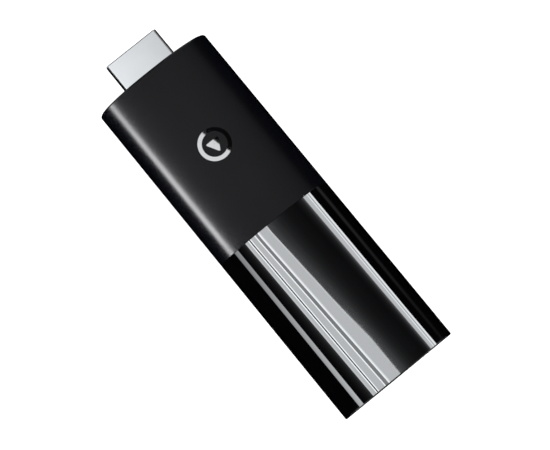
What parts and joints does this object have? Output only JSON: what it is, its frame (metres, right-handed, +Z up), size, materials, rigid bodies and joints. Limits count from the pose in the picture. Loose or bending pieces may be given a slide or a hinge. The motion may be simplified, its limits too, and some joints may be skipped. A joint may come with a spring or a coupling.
{
  "type": "streaming media player",
  "caption": "Oval black media player stick, matt front half and gloss rear half, with a video plug at the nose and a power socket in the tail.",
  "frame": {"origin": "bottom centre of the whole stick's box, on the flat underside", "axes": "+X from the plug to the tail, +Y across the width, +Z up through the thickness; the plug's wide side is up"},
  "size_m": [0.0936, 0.0296, 0.015],
  "materials": {
    "matte_shell": "fine matt spark texture, black",
    "gloss_shell": "polished piano black",
    "mark": "polished black inlay",
    "plug_nickel": "nickel plated steel sheet, satin",
    "socket_steel": "nickel plated steel sheet",
    "connector_plastic": "black moulded connector plastic",
    "gold_contact": "gold plated copper alloy",
    "gasket_rubber": "soft grey-black foam rubber",
    "frame_plastic": "dark grey moulded plastic",
    "circuit_board": "glass-epoxy board with green solder mask",
    "screw_steel": "zinc plated steel",
    "chip_resin": "black moulded chip resin",
    "can_steel": "tin plated steel sheet",
    "ferrite": "dark sintered ferrite",
    "crystal_metal": "metal lid",
    "capacitor_ceramic": "tan fired ceramic with tinned ends",
    "antenna_metal": "plated phosphor bronze strip",
    "thermal_pad": "soft blue-grey silicone pad",
    "spreader_aluminium": "stamped aluminium sheet"
  },
  "bodies": {
    "root": {"front_housing": "matte_shell", "rear_cover": "gloss_shell", "tail_cap": "gloss_shell", "mark_inlay": "mark", "plug_shell": "plug_nickel", "plug_insulator": "connector_plastic", "plug_contacts": "gold_contact", "plug_gasket": "gasket_rubber", "socket_shell": "socket_steel", "socket_tongue": "connector_plastic", "socket_contacts": "gold_contact", "inner_frame": "frame_plastic", "main_board": "circuit_board", "frame_screws": "screw_steel", "processor": "chip_resin", "memory_chips": "chip_resin", "storage_chip": "chip_resin", "radio_module": "can_steel", "power_chips": "chip_resin", "power_inductors": "ferrite", "crystals": "crystal_metal", "chip_capacitors": "capacitor_ceramic", "antennas": "antenna_metal", "upper_shield_frame": "can_steel", "upper_shield_lid": "can_steel", "lower_shield_can": "can_steel", "processor_pad": "thermal_pad", "upper_thermal_pad": "thermal_pad", "lower_thermal_pad": "thermal_pad", "upper_heat_spreader": "spreader_aluminium", "lower_heat_spreader": "spreader_aluminium"}
  },
  "joints": []
}
